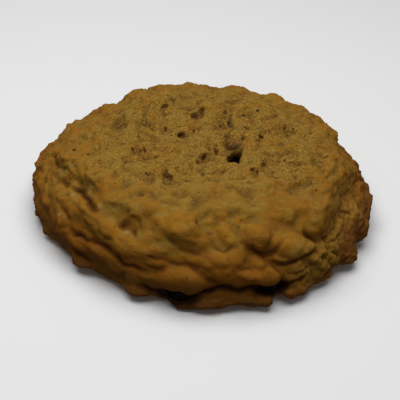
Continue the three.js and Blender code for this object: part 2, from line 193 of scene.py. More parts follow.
# Broad bumps and, with a height below zero, hollows of the top: as PITS, with the height in mm.
SWELLS = [
    (160, 118, 14, 5, 0, 0.7),
    (190, 123, 10, 6, 0, 0.6),
    (120, 150, 13, 8, 10, 0.5),
    (160, 166, 13, 5, 0, 0.6),
    (205, 142, 11, 6, 0, 0.6),
    (241, 106, 11, 5, 0, 0.6),
    (266, 123, 14, 6, -10, 0.7),
    (282, 148, 16, 4, 0, 0.7),
    (222, 166, 12, 4, 0, 0.7),
    (262, 159, 9, 4, 35, 0.9),
    (105, 182, 9, 7, 0, 0.4),
    (135, 167, 9, 6, 0, 0.4),
    (185, 149, 9, 6, 0, 0.4),
    (300, 150, 9, 8, 0, 0.5),
    (315, 140, 9, 9, 0, 0.5),
    (300, 115, 10, 5, 0, 0.4),
    (330, 160, 8, 10, 0, 0.5),
    (100, 135, 10, 6, 0, 0.5),
    (216, 93, 12, 4, 0, 0.4),
    (150, 98, 9, 5, 0, 0.4),
    (275, 187, 14, 6, 0, 0.4),
    (200, 185, 14, 6, 0, 0.3),
    (232, 186, 10, 5, 0, 0.3),
    (146, 111, 4, 8, 0, -1.0),
    (146, 124, 9, 3.5, 0, -0.7),
    (118, 122, 6, 5, 0, -0.9),
    (174, 100, 7, 4, 0, -0.7),
    (165, 108, 6, 2.5, 10, -0.5),
    (197, 117, 7, 4, 15, -0.7),
    (135, 152, 6, 5, 0, -0.6),
    (224, 112, 7, 4, 0, -0.7),
    (222, 127, 9, 5, 0, -0.9),
    (230, 123, 4, 7, 0, -1.1),
    (229, 138, 6, 6, 0, -1.0),
    (232, 146, 11, 7, 0, -1.4),
    (203, 161, 6, 4, 15, -0.9),
    (203, 177, 5, 3, 0, -0.5),
    (217, 180, 8, 4, 0, -0.5),
    (247, 116, 5, 3, 0, -0.7),
    (247, 130, 6, 2.5, -15, -0.6),
    (290, 132, 9, 5, 0, -0.7),
    (293, 163, 9, 3.5, -10, -0.7),
    (264, 167, 6, 3, 25, -0.7),
    (255, 173, 5, 3, 0, -0.5),
    (296, 179, 6, 3, -35, -0.6),
    (175, 171, 4, 6, 0, -0.5),
    (168, 176, 4, 5, 0, -0.7),
    (97, 133, 4, 4, 0, -0.6),
    (258, 109, 5, 3, 0, -0.5),
    (275, 118, 6, 2.5, 0, -0.5),
    (277, 172, 6, 3, 0, -0.4),
    (185, 180, 5, 3, 0, -0.4),
    (155, 158, 7, 2, 0, -0.5),
    (311, 136, 3, 3, 0, -0.5),
    (320, 166, 4, 4, 0, -0.4),
    (340, 188, 4, 6, 0, -0.5),
    (325, 180, 4, 5, 0, -0.3),
]

# Lobes of the front and the left: middle, end of the long half axis, half width, height in mm.
LOBES = [
    (84, 168, 93, 180, 8, 0.7),
    (103, 180, 113, 184, 6.5, 0.8),
    (145, 203, 173, 206, 10, 0.7),
    (125, 196, 140, 200, 8, 0.5),
    (178, 222, 186, 240, 16, 0.7),
    (168, 210, 180, 214, 8, 0.4),
    (217, 204, 233, 207, 10, 0.8),
    (246, 211, 259, 216, 11, 0.7),
    (200, 245, 208, 248, 5.5, 0.45),
    (208, 222, 213, 224, 4.5, 0.6),
    (217, 231, 221, 234, 3.5, 0.5),
    (229, 238, 241, 242, 8.5, 0.9),
    (221, 214, 230, 217, 6, 0.4),
    (263, 236, 283, 238, 19, 1.3),
    (284, 214, 294, 219, 8, 0.6),
    (300, 205, 320, 211, 10, 0.7),
    (312, 224, 327, 229, 14, 0.9),
    (291, 245, 314, 249, 15, 1.1),
    (307, 247, 318, 248.5, 5, 1.0),
    (281, 256, 294, 257, 7, 1.0),
    (240, 255, 243, 267, 8, 0.68),
    (221, 258, 234, 261, 8, 0.62),
    (205, 262, 214, 266, 6, 0.43),
    (258, 261, 259, 270, 6.5, 1.1),
    (247, 276, 254, 282, 7, 0.56),
    (265, 277, 279, 278.5, 7.5, 1.1),
    (276, 277, 281.5, 278.3, 2.8, 0.9),
    (226, 275, 238, 279, 7.5, 0.56),
    (182, 272, 199, 274, 5.5, 0.62),
    (202, 284, 211, 287, 4.5, 0.5),
    (160, 247, 172, 249, 6.5, 0.37),
    (150, 234, 160, 239, 8, 0.31),
    (155, 264, 168, 267, 3.6, 0.43),
    (192, 258, 203, 263, 4.5, 0.37),
    (57, 192, 61, 199, 6.5, 0.43),
    (73, 196, 77, 202, 5, 0.5),
    (84, 205, 89, 212, 5.5, 0.43),
    (69, 207, 73, 214, 6.5, 0.37),
    (91, 219, 97, 226, 6.5, 0.43),
    (107, 227, 118, 233, 7.5, 0.5),
    (130, 240, 141, 246, 5.5, 0.37),
    (120, 248, 132, 257, 6, 0.5),
    (98, 232, 107, 240, 4.5, 0.31),
    (60, 215, 64, 226, 6, 0.56),
    (80, 228, 88, 234, 6, 0.31),
    (76, 243, 88, 250, 5, 0.56),
    (95, 251, 106, 260, 6, 0.5),
    (114, 265, 124, 272, 5, 0.43),
    (62, 234, 70, 243, 4.5, 0.37),
    (138, 276, 156, 281, 5.5, 0.37),
    (181, 284, 206, 289, 5.5, 1.6),
    (195, 296, 202, 295, 4, 0.5),
    (216, 303, 222, 302, 3, 0.6),
    (265, 296, 269, 293, 5.5, 0.9),
    (254, 298, 258, 298, 4.5, 0.5),
    (290, 291, 296, 290, 5, 0.8),
    (182, 304, 192, 305, 2.5, 0.5),
    (42, 163, 46, 170, 5.5, 0.6),
    (38, 180, 40, 188, 4.5, 0.5),
    (45, 200, 48, 208, 5, 0.6),
    (50, 178, 54, 183, 4, 0.4),
    (65, 158, 70, 164, 4.5, 0.5),
    (298, 264, 310, 262, 6.5, 0.7),
    (291, 276, 303, 275, 4.5, 0.7),
    (305, 270, 312, 266, 4, 0.5),
    (322, 264, 330, 266, 6, 0.9),
    (334, 258, 339, 262, 5, 0.8),
    (333, 246, 338, 250, 4.5, 0.7),
    (322, 251, 327, 254, 4.5, 0.6),
    (314, 258, 318, 262, 4, 0.6),
    (318, 273, 326, 270, 5, 0.6),
    (331, 236, 336, 232, 5, 0.6),
    (338, 226, 341, 218, 4, 0.6),
    (305, 284, 314, 277, 5, 0.6),
]

# Creases between them: depth and half width in mm, and the line of each.
CREASES = [
    (1.9, 1.1, [(70, 186), (77, 189), (82, 192), (87, 198), (92, 205), (97, 214)]),
    (1.0, 0.9, [(52, 158), (57, 166), (60, 170)]),
    (1.0, 0.9, [(50, 176), (52, 183)]),
    (1.0, 0.9, [(58, 178), (66, 182), (72, 187)]),
    (2.2, 1.7, [(120, 220), (124, 223), (128, 227)]),
    (1.2, 0.8, [(128, 228), (132, 232), (136, 237)]),
    (0.9, 0.8, [(58, 204), (63, 208), (68, 214), (71, 221)]),
    (1.7, 1.04, [
        (69, 227), (74, 234), (80, 237), (87, 239), (93, 239), (100, 243),
        (108, 250), (115, 257), (122, 264), (128, 267), (137, 268), (146, 271),
    ]),
    (1.7, 1.04, [(69, 249), (76, 253), (82, 256), (88, 260), (94, 262)]),
    (0.7, 0.8, [(48, 222), (54, 230), (60, 240), (66, 247)]),
    (0.7, 0.88, [(136, 249), (143, 254)]),
    (0.5, 0.72, [(101, 238), (120, 240), (134, 243)]),
    (0.7, 1.04, [(163, 230), (170, 241), (180, 249), (192, 252), (203, 255)]),
    (0.7, 0.72, [(199, 214), (197, 226), (196, 237)]),
    (0.9, 1.2, [(203, 233), (210, 234), (215, 234)]),
    (0.8, 0.88, [(211, 240), (218, 247), (224, 250), (233, 246)]),
    (1.3, 0.88, [
        (281, 237), (280, 243), (276, 248), (270, 254),
        (264, 257), (256, 253), (251, 249), (246, 241),
    ]),
    (0.5, 0.72, [(251, 255), (250, 261), (249, 266)]),
    (1.3, 0.88, [(299, 226), (303, 231), (307, 236), (313, 240), (320, 241), (326, 237), (328, 229)]),
    (0.6, 0.8, [(281, 238), (285, 232), (291, 230)]),
    (1.0, 0.88, [
        (143, 254), (149, 258), (157, 260), (168, 263), (180, 265),
        (190, 266), (199, 270), (206, 277), (213, 283), (219, 287),
    ]),
    (0.8, 0.8, [(232, 264), (241, 269), (250, 268), (258, 273)]),
    (1.0, 0.96, [(268, 260), (275, 264), (285, 264), (293, 261), (300, 257), (308, 253), (316, 250)]),
    (2.0, 1.3, [
        (190, 292), (196, 290), (202, 290), (210, 291), (219, 288), (226, 290), (233, 292),
        (241, 292), (250, 290), (258, 289), (265, 286), (272, 285), (280, 283), (288, 283),
    ]),
    (1.0, 0.88, [(283, 277), (277, 271), (272, 265), (268, 260)]),
    (0.5, 0.72, [(284, 272), (291, 267), (303, 266)]),
    (1.3, 0.88, [(286, 283), (293, 283), (301, 280), (306, 275)]),
    (1.8, 1.2, [(137, 286), (147, 289), (156, 292), (163, 294), (170, 296)]),
    (1.0, 0.8, [(124, 270), (124, 277), (122, 281), (126, 285)]),
    (0.5, 0.72, [(200, 298), (212, 298), (226, 296)]),
    (0.9, 0.8, [(340, 211), (350, 213), (353, 208)]),
    (0.6, 0.7, [(328, 227), (328, 223), (333, 218), (339, 211)]),
    (0.4, 0.6, [(354, 176), (357, 186), (355, 198), (354, 212), (358, 228)]),
    (0.8, 0.72, [(354, 239), (346, 247), (343, 258)]),
    (0.5, 0.64, [(298, 283), (305, 272), (316, 262)]),
    (0.7, 0.72, [(329, 246), (322, 256), (330, 266)]),
]

# Oat flakes that show pale in the crust: middle, half length in mm and its turn in degrees.
PALE_OATS = [
    (99, 206, 1.0, 40),
    (73, 194, 0.7, 70),
    (60, 214, 0.8, 20),
    (63, 157, 0.6, 80),
    (127, 232, 0.9, 10),
]


# ---------------------------------------- noise
def hashed(cell, salt):
    """A repeatable number from 0 to 1 for each lattice cell."""
    n = cell[..., 0] * 73856093 ^ cell[..., 1] * 19349663 ^ cell[..., 2] * 83492791 ^ (salt * 668265263)
    n = (n ^ (n >> 13)) * 1274126177
    n = (n ^ (n >> 16)) & 0xFFFFFF
    return n / 0xFFFFFF


def smooth(x, low, high):
    """0 up to low, 1 from high, and a soft step between them."""
    t = np.clip((x - low) / (high - low), 0, 1)
    return t * t * (3 - 2 * t)


def fading(x, full, gone):
    """1 up to full, 0 from gone, and a soft step between them."""
    return smooth(-x, -gone, -full)


def noise(points, size, salt):
    """Soft lattice noise from -1 to 1."""
    p = points / size
    base = np.floor(p).astype(np.int64)
    f = p - base
    f = f * f * f * (f * (f * 6 - 15) + 10)
    total = np.zeros(len(p))
    for corner in itertools.product((0, 1), repeat=3):
        weight = np.prod(np.where(corner, f, 1 - f), axis=1)
        total += weight * hashed(base + corner, salt)
    return total * 2 - 1


def fractal(points, size, salt, layers=3):
    total = np.zeros(len(points))
    for k in range(layers):
        total += noise(points, size / 2**k, salt + 17 * k) / 2**k
    return total


def warped(points, size, reach, salt):
    shift = np.stack([noise(points, size, salt + k) for k in range(3)], axis=1)
    return points + reach * shift


def cells(points, size, salt):
    """Distance to the nearest and the second nearest seed of a jittered lattice, and the nearest's number."""
    p = points / size
    base = np.floor(p).astype(np.int64)
    first = np.full(len(p), 9.0)
    second = np.full(len(p), 9.0)
    number = np.zeros(len(p))
    for offset in itertools.product((-1, 0, 1), repeat=3):
        cell = base + offset
        seed = cell + np.stack([hashed(cell, salt + k) for k in range(3)], axis=1)
        distance = np.linalg.norm(p - seed, axis=1)
        nearer = distance < first
        second = np.where(nearer, first, np.minimum(second, distance))
        number = np.where(nearer, hashed(cell, salt + 3), number)
        first = np.where(nearer, distance, first)
    return first, second, number


def domes(points, size, salt):
    """Round bodies of uneven height with creases between them."""
    first, second, number = cells(points, size, salt)
    return 0.75 * smooth(second - first, 0.0, 0.6) - first**2 + 0.5 * (number - 0.5)


# ---------------------------------------- meshes as arrays
def get_points(mesh):
    flat = np.empty(len(mesh.vertices) * 3)
    mesh.vertices.foreach_get("co", flat)
    return flat.reshape(-1, 3) / MM


def get_normals(mesh):
    flat = np.empty(len(mesh.vertices) * 3)
    mesh.vertex_normals.foreach_get("vector", flat)
    return flat.reshape(-1, 3)


def get_edges(mesh):
    flat = np.empty(len(mesh.edges) * 2, dtype=np.int64)
    mesh.edges.foreach_get("vertices", flat)
    return flat.reshape(-1, 2)


def move_points(mesh, points):
    """Moves the vertices and gives their new normals."""
    mesh.vertices.foreach_set("co", (points * MM).ravel())
    mesh.update()
    return get_normals(mesh)


def neighbour_mean(values, edges):
    """The mean of each vertex's neighbours, for one number or several a vertex."""
    columns = values.reshape(len(values), -1)
    ends = np.concatenate([edges[:, 0], edges[:, 1]])
    others = np.concatenate([edges[:, 1], edges[:, 0]])
    count = np.maximum(np.bincount(ends, minlength=len(columns)), 1)
    sums = [np.bincount(ends, column[others], len(columns)) / count for column in columns.T]
    return np.stack(sums, axis=1).reshape(values.shape)


def blurred(values, edges, rounds, share=0.6):
    for _ in range(rounds):
        values = values + share * (neighbour_mean(values, edges) - values)
    return values


def add_attribute(mesh, name, values):
    layer = mesh.attributes.new(name, "FLOAT", "POINT")
    layer.data.foreach_set("value", np.asarray(values, dtype=np.float32))


def new_object(name, data):
    thing = bpy.data.objects.new(name, data)
    bpy.context.scene.collection.objects.link(thing)
    return thing


def evaluated_mesh(piece):
    """The mesh that the piece's modifiers make; the modifiers go."""
    graph = bpy.context.evaluated_depsgraph_get()
    mesh = bpy.data.meshes.new_from_object(piece.evaluated_get(graph))
    piece.modifiers.clear()
    return mesh


def search_tree(piece):
    return BVHTree.FromObject(piece, bpy.context.evaluated_depsgraph_get())


# ---------------------------------------- from the photo onto the dough
def photo_view():
    """The camera's eye, and its turn while it looks straight at TARGET."""
    back = Vector((0, -math.cos(ELEVATION), math.sin(ELEVATION)))
    level = back.to_track_quat("Z", "Y").to_matrix() @ Matrix.Rotation(ROLL, 3, "Z")
    return TARGET + DISTANCE * back, level


def on_dough(tree, x, y):
    """The place on the dough at a point of the photo, and the normal there, or None twice beside it."""
    eye, level = photo_view()
    way = level @ Vector((x - PHOTO_TARGET[0], PHOTO_TARGET[1] - y, -PHOTO_FOCAL))
    place, normal, _, _ = tree.ray_cast(eye, way.normalized())
    if place is None:
        return None, None
    return np.array(place) / MM, np.array(normal)


def step_on_dough(tree, x, y, dx, dy):
    """What a step in the photo is on the dough, as a vector along its face: the mean of both ways."""
    middle, normal = on_dough(tree, x, y)
    steps = []
    for way in (1, -1):
        end, _ = on_dough(tree, x + way * dx, y + way * dy)
        if end is not None and np.linalg.norm(end - middle) < FARTHEST_STEP:
            steps.append(way * (end - middle))
    step = np.mean(steps, axis=0)
    return step - normal * (step @ normal)


def level_step(length, degrees):
    """What a step in the photo is on a level face, seen from above; degrees count from the right upwards."""
    turn = math.radians(degrees)
    _, level = photo_view()
    back = level.col[2]
    step = level @ Vector((math.cos(turn), math.sin(turn), 0)) * (length * DISTANCE / PHOTO_FOCAL / MM)
    return np.array(step - back * (step.z / back.z))[:2]


def placed_ellipses(tree, rows):
    """The middle of each ellipse on the dough, the matrix from steps over it to its axes, and its height."""
    placed = []
    for x, y, half_length, half_width, degrees, height in rows:
        axes = np.column_stack([level_step(half_length, degrees), level_step(half_width, degrees + 90)])
        placed.append((on_dough(tree, x, y)[0], np.linalg.inv(axes), height))
    return placed


def placed_lobes(tree):
    """The middle of each lobe, its half length as a vector, its half width and its height."""
    placed = []
    for x, y, end_x, end_y, half_width, height in LOBES:
        dx, dy = end_x - x, end_y - y
        side = half_width / math.hypot(dx, dy)
        along = step_on_dough(tree, x, y, dx, dy)
        across = step_on_dough(tree, x, y, -dy * side, dx * side)
        across -= along * (across @ along) / (along @ along)
        placed.append((on_dough(tree, x, y)[0], along, np.linalg.norm(across), height))
    return placed


def placed_creases(tree):
    """The depth and half width of each crease, and its line on the dough."""
    placed = []
    for depth, width, line in CREASES:
        places = [on_dough(tree, x, y)[0] for x, y in line]
        placed.append((depth, width, np.array([place for place in places if place is not None])))
    return placed


# ---------------------------------------- relief of the dough
def sector(points, begins, whole, last, ends):
    """How much of a sector, seen from above, each point is in."""
    azimuth = np.degrees(np.arctan2(points[:, 1], points[:, 0])) % 360
    return smooth(azimuth, begins, whole) * fading(azimuth, last, ends)


def flake_relief(points, normals, tree, random):
    """Oat flakes under the crust: flat ovals, each a little tipped, with a groove along the middle.

    Gives their height at each point, and how much of a pale one it is in.
    """
    height = np.zeros(len(points))
    pale = np.zeros(len(points))
    upper = np.flatnonzero((normals[:, 2] > -0.2) & (points[:, 2] > 2.0))
    wobble = noise(points, 1.1, 71)
    places = []
    for x, y, length, degrees in PALE_OATS:
        nearest = np.argmin(np.linalg.norm(points - on_dough(tree, x, y)[0], axis=1))
        places.append((nearest, length, math.radians(degrees), 1))
    for at in upper[random.integers(len(upper), size=FLAKE_COUNT)]:
        places.append((at, random.uniform(*FLAKE_LENGTH), random.uniform(0, 2 * math.pi), 0))
    for at, length, turn, mark in places:
        middle, normal = points[at], normals[at]
        width = length * random.uniform(0.6, 0.85)
        rise = random.uniform(*FLAKE_HEIGHT)
        tip = random.uniform(0.1, 0.9)
        side = np.cross(normal, (0.31, 0.87, 0.38))
        side /= np.linalg.norm(side)
        along = math.cos(turn) * side + math.sin(turn) * np.cross(normal, side)
        across = np.cross(normal, along)
        near = np.flatnonzero(np.abs(points - middle).max(axis=1) < length * 1.3)
        away = points[near] - middle
        u = away @ along / length
        v = away @ across / width
        w = np.abs(away @ normal)
        edge = np.hypot(u, v) + 0.1 * wobble[near]
        plate = fading(edge, 0.8, 1.04) * fading(w, 1.0, 1.6)
        shape = plate * (1 - tip + tip * (0.5 + 0.5 * u)) - 0.25 * plate * np.exp(-((v / 0.16) ** 2))
        height[near] = np.maximum(height[near], rise * shape)
        pale[near] = np.maximum(pale[near], mark * fading(edge, 0.2, 1.3))
    return height, pale


def lobe_relief(points, normals, lobes):
    """Round lobes of dough that meet in creases: the highest of them counts most at each point."""
    total = np.zeros(len(points))
    for middle, half_length, width, rise in lobes:
        away = points - middle
        length = np.linalg.norm(half_length)
        reach = max(LOBE_SPREAD * length, LOBE_SPREAD * width, LOBE_REACH)
        near = np.flatnonzero(np.abs(away).max(axis=1) < reach)
        away = away[near]
        normal = normals[near][np.argmin(np.linalg.norm(away, axis=1))]
        across = np.cross(normal, half_length)
        across /= np.linalg.norm(across)
        u = away @ half_length / length**2 / LOBE_SPREAD
        v = away @ across / width / LOBE_SPREAD
        w = away @ normal / LOBE_REACH
        down = normal[2] * normal - (0, 0, 1)
        down /= max(np.linalg.norm(down), 0.3)
        lower = u * (down @ half_length) / length + v * (down @ across)
        shape = fading(np.sqrt(u * u + v * v + w * w), 0.4, 1.0) * (1 + LOBE_SKEW * lower)
        total[near] += (rise * np.maximum(shape, 0)) ** 4
    return total ** (1 / 4)


def crease_relief(points, creases):
    """How deep the creases are at each point; they run out at their ends."""
    deepest = np.zeros(len(points))
    for depth, width, line in creases:
        inside = (points > line.min(axis=0) - width) & (points < line.max(axis=0) + width)
        near = np.flatnonzero(inside.all(axis=1))
        spots = points[near]
        lengths = np.linalg.norm(np.diff(line, axis=0), axis=1)
        total = lengths.sum()
        for i, start in enumerate(line[:-1]):
            way = line[i + 1] - start
            share = np.clip((spots - start) @ way / (way @ way), 0, 1)
            distance = np.linalg.norm(spots - start - share[:, None] * way, axis=1)
            run = lengths[:i].sum() + share * lengths[i]
            end = smooth(np.minimum(run, total - run), -1.0, 2.0)
            deepest[near] = np.maximum(deepest[near], depth * end * fading(distance / width, 0, 1))
    return deepest


def swell_relief(points, tree):
    """The broad bumps and hollows of the top, and how much of a hollow each point is in."""
    height = np.zeros(len(points))
    hollow = np.zeros(len(points))
    for middle, to_axes, rise in placed_ellipses(tree, SWELLS):
        share = 1.0 if rise > 0 else HOLLOW_SHARE
        foot = middle[:2] - (0, share * rise / math.tan(ELEVATION))  # nearer the camera, as it is raised
        u, v = to_axes @ (points[:, :2] - foot).T
        bell = np.exp(-1.2 * (u * u + v * v))
        height += share * rise * bell
        hollow = np.maximum(hollow, -rise * bell)
    return height, hollow


def pit_relief(points, normals, tree, random):
    """Steep pits with ragged outlines: those of PITS in the top, and small pores all over."""
    depth = np.zeros(len(points))
    wobble = 0.45 * fractal(points, 1.0, 31, 2)
    facing_up = smooth(normals[:, 2], 0.2, 0.6)
    for middle, to_axes, deep in placed_ellipses(tree, PITS):
        u, v = to_axes @ (points[:, :2] - middle[:2]).T
        depth = np.maximum(depth, 0.9 * deep * facing_up * fading(np.hypot(u, v) + wobble, 0.3, 1.1))
    upper = np.flatnonzero((normals[:, 2] > -0.1) & (points[:, 2] > 1.5))
    for _ in range(PORE_COUNT):
        at = upper[random.integers(len(upper))]
        radius = random.uniform(*PORE_RADIUS)
        deep = random.uniform(*PORE_DEPTH)
        near = np.flatnonzero(np.abs(points - points[at]).max(axis=1) < 1.5 * radius)
        distance = np.linalg.norm(points[near] - points[at], axis=1) / radius
        depth[near] = np.maximum(depth[near], deep * fading(distance + wobble[near], 0.3, 1.2))
    return depth


# ---------------------------------------- dough
def remeshed_dough():
    """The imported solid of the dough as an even, fine mesh, with one flat face under it."""
    piece = new_object("dough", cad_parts["cookie"].data.copy())
    remesh = piece.modifiers.new("remesh", "REMESH")
    remesh.mode = "VOXEL"
    remesh.voxel_size = VOXEL * MM
    piece.data = evaluated_mesh(piece)
    bm = bmesh.new()
    bm.from_mesh(piece.data)
    flat = [
        f
        for f in bm.faces
        if f.normal.z < -0.9 and all(v.co.z < 0.2 * MM and v.co.xy.length < FOOT_FLAT * MM for v in f.verts)
    ]
    bmesh.ops.dissolve_faces(bm, faces=flat, use_verts=True)
    bm.to_mesh(piece.data)
    bm.free()
    piece.data.polygons.foreach_set("use_smooth", [True] * len(piece.data.polygons))
    return piece


def rounded(mesh, edges):
    """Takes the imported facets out, most of all at the hole and where LOBES stand, and sharpens what is left.

    Gives the points, their normals and how much of the front each is in.
    """
    points = blurred(get_points(mesh), edges, FACET_ROUNDS)
    height = points[:, 2]
    front = sector(points, *FRONT_SECTOR) * smooth(height, *FRONT_FOOT) * fading(height, *FRONT_TOP)
    hole = fading(np.hypot(*(points[:, :2] - HOLE).T), *HOLE_EDGE) * smooth(height, *HOLE_FLOOR)
    points = points + hole[:, None] * (blurred(points, edges, HOLE_ROUNDS) - points)
    points = points + (FRONT_SHARE * front)[:, None] * (blurred(points, edges, FRONT_ROUNDS) - points)
    normals = move_points(mesh, points)
    swell = ((points - blurred(points, edges, SHARPEN_ROUNDS)) * normals).sum(axis=1)
    points = points + (SHARPEN * np.clip(swell, -SHARPEN_LIMIT, SHARPEN_LIMIT))[:, None] * normals
    wall = np.hypot(*((points[:, :2] - HOLE_WALL) / HOLE_WALL_REACH).T)
    points[:, 0] -= np.exp(-(wall**2)) * smooth(points[:, 2], *HOLE_WALL_FOOT)
    return points, move_points(mesh, points), front


def areas(points, normals, front):
    """How much of each area of the dough every point is in, from 0 to 1."""
    height = points[:, 2]
    nearness = -points[:, 1]  # towards the camera, where the photo is out of focus
    radius = np.hypot(points[:, 0], points[:, 1])
    calm = sector(points, *CALM_SECTOR) * smooth(radius, *CALM_RADIUS) * smooth(height, *CALM_FOOT)
    crumbly = sector(points, *CRUMBLY_SECTOR)
    return {
        "front": front,
        "up": smooth(normals[:, 2], 0.1, 0.7),
        "soft": np.maximum(front * smooth(nearness, *SOFT_FRONT), 0.8 * smooth(nearness, *SOFT_TOP)),
        "left": sector(points, *LEFT_SECTOR) * fading(height, *LEFT_TOP),
        "crumbly": crumbly * fading(height, *CRUMBLY_TOP) * smooth(radius, *CRUMBLY_RIM),
        "coarse": np.maximum(smooth(noise(points, 9, 47), -0.4, 0.4), calm),
    }


def random_relief(points, area):
    """Bumps of several sizes without a place in the photo."""
    up, front, coarse = area["up"], area["front"], area["coarse"]
    flattened = points + np.outer(0.6 * (1 - up) * points[:, 2], (0, 0, 1))  # the sides' bumps lie in layers
    small = domes(warped(flattened, 2.6, 0.9, 5), 3.1, 41)
    large = domes(warped(flattened, 4.0, 1.5, 15), 5.6, 45)
    nubs = domes(warped(points, 1.3, 0.4, 9), 1.5, 51)
    left_bumps = domes(warped(points, 1.8, 0.7, 109), 2.2, 111)
    relief = (0.22 + 0.1 * up - 0.12 * coarse) * small + 0.4 * coarse * large
    relief += 0.3 * up * (1 - front) * fractal(points, 3.2, 63)
    relief *= 1 - 0.45 * front * sector(points, *LOBE_SECTOR)
    relief += (0.06 + 0.25 * area["crumbly"]) * nubs + 0.3 * area["left"] * left_bumps
    return relief + 0.35 * fractal(points, 7.5, 61) + 0.05 * fractal(points, 1.1, 65, 2)


def shaped(piece, edges, points, normals, area):
    """Adds all the relief, and gives the new points and what the material asks about the relief."""
    random = np.random.default_rng(11)
    up, soft = area["up"], area["soft"]
    foot = smooth(points[:, 2], 0.0, FOOT_HEIGHT)
    tree = search_tree(piece)
    flakes, pale = flake_relief(points, normals, tree, random)
    creases = crease_relief(warped(points, 2.2, 0.5, 95), placed_creases(tree))
    uneven = warped(warped(points, 3.5, 0.8, 98), 1.7, 0.3, 105)
    lobes = lobe_relief(uneven, normals, placed_lobes(tree))
    swells, hollow = swell_relief(points, tree)
    relief = random_relief(points, area) + LOBE_HEIGHT * lobes - CREASE_SHARE * creases + swells * up
    relief += (1 - SOFTENING * soft) * flakes
    move_points(piece.data, points + (relief * foot)[:, None] * normals)
    pits = pit_relief(points, normals, search_tree(piece), random)
    relief -= (1 - SOFTENING * soft) * pits
    relief *= foot
    relief += SOFTENING * soft * (1 - area["crumbly"]) * (blurred(relief, edges, FINE_ROUNDS) - relief)
    points = points + relief[:, None] * normals
    points[:, 2] = np.maximum(points[:, 2], 0)
    marks = {
        "flake": pale,
        "crease": creases,
        "hollow": np.clip(hollow, 0, 1) * up,
        "pit": smooth(pits, 0.04, 0.4) * (1 - 0.9 * soft),
    }
    return points, marks


def raisin_shade(points):
    """How near each point is to a raisin, from 0 to 1."""
    shade = np.zeros(len(points))
    for name, reach in RAISIN_SHADE.items():
        spots = get_points(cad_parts[name].data)
        low, high = spots.min(axis=0) - reach, spots.max(axis=0) + reach
        near = np.flatnonzero(((points > low) & (points < high)).all(axis=1))
        gaps = np.array([np.linalg.norm(spots - point, axis=1).min() for point in points[near]])
        shade[near] = np.maximum(shade[near], fading(gaps, 0.4 * reach, reach))
    return shade


def openness(piece, points, normals):
    """The share of the sky over each vertex that no dough covers, within a few millimetres."""
    tree = search_tree(piece)
    helper = np.where(np.abs(normals[:, 2:]) < 0.9, (0.0, 0.0, 1.0), (1.0, 0.0, 0.0))
    side = np.cross(helper, normals)
    side /= np.linalg.norm(side, axis=1, keepdims=True)
    front = np.cross(normals, side)
    starts = ((points + 0.12 * normals) * MM).tolist()
    free = np.zeros(len(points))
    for k in range(SKY_RAYS):
        height = 1 - (k + 0.5) / SKY_RAYS * 0.9
        reach = math.sqrt(1 - height * height)
        x, y = reach * math.cos(k * GOLDEN_ANGLE), reach * math.sin(k * GOLDEN_ANGLE)
        ways = (x * side + y * front + height * normals).tolist()
        for i, (start, way) in enumerate(zip(starts, ways)):
            if tree.ray_cast(start, way, SKY_REACH * MM)[0] is None:
                free[i] += 1
    return free / SKY_RAYS


def bulge(points, normals, edges, rounds):
    """How far each point stands out of its surroundings."""
    return ((points - blurred(points, edges, rounds)) * normals).sum(axis=1)


def place_marks(points, normals, edges, area):
    """What the material asks about the place of each vertex."""
    height = points[:, 2]
    radius = np.hypot(points[:, 0], points[:, 1])
    facing_down = smooth(-blurred(normals[:, 2], edges, 3), -0.25, 0.35)
    azimuth = np.degrees(np.arctan2(points[:, 1], points[:, 0]))
    middle, whole, ends = HIGHER_SKIRT
    higher = fading(np.abs(azimuth - middle), whole, ends)
    return {
        "fine": bulge(points, normals, edges, FINE_ROUNDS),
        "wide": bulge(points, normals, edges, WIDE_ROUNDS),
        "beside": raisin_shade(points),
        "front": area["front"],
        "soft": area["soft"],
        "crumbly": area["crumbly"],
        # front faces that turn down, which get painted warm shade
        "turned": facing_down * area["front"],
        "top": fading(radius - 2 * noise(points, 6, 79), 20, 30) * area["up"],
        "low": fading(height - 2 * noise(points, 4, 83), 9, 14),
        "skirt": smooth(radius, 33, 36) * fading(height - 1.2 * noise(points, 5, 77) - 4 * higher, 3, 6),
        "sole": fading(height, 0.05, 0.3),
        "under": sector(points, *UNDER_SECTOR) * fading(height - noise(points, 4, 87), 5, 9.5),
    }


def make_dough():
    """The piece, its points and normals, and the numbers of each vertex that its material uses."""
    piece = remeshed_dough()
    mesh = piece.data
    edges = get_edges(mesh)
    points, normals, front = rounded(mesh, edges)
    area = areas(points, normals, front)
    points, marks = shaped(piece, edges, points, normals, area)
    normals = move_points(mesh, points)
    marks.update(place_marks(points, normals, edges, area))
    marks["free"] = blurred(openness(piece, points, normals), edges, 1)
    for name, values in marks.items():
        add_attribute(mesh, name, values)
    mesh.materials.clear()
    mesh.materials.append(dough_material())
    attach(piece, "root")
    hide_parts("cookie")
    return piece, points, normals, marks


# ---------------------------------------- crumbs
def crumb_turn(normal, random):
    """A turning that lays a grain on a surface, spun by chance and tipped a little."""
    lay = Vector(normal).to_track_quat("Z", "Y").to_matrix()
    spin = Matrix.Rotation(math.radians(random.uniform(0, 360)), 3, "Z")
    tip = Matrix.Rotation(random.uniform(-0.5, 0.5), 3, "X")
    tip = tip @ Matrix.Rotation(random.uniform(-0.5, 0.5), 3, "Y")
    return np.array(lay @ spin @ tip)


def crumb_shape(random):
    """An uneven grain, as points and faces."""
    bm = bmesh.new()
    bmesh.ops.create_icosphere(bm, subdivisions=1, radius=1)
    points = np.array([v.co for v in bm.verts]) * random.uniform(0.75, 1.15, (len(bm.verts), 1))
    faces = [[v.index for v in f.verts] for f in bm.faces]
    bm.free()
    return points * random.uniform(0.7, 1.2, 3), faces


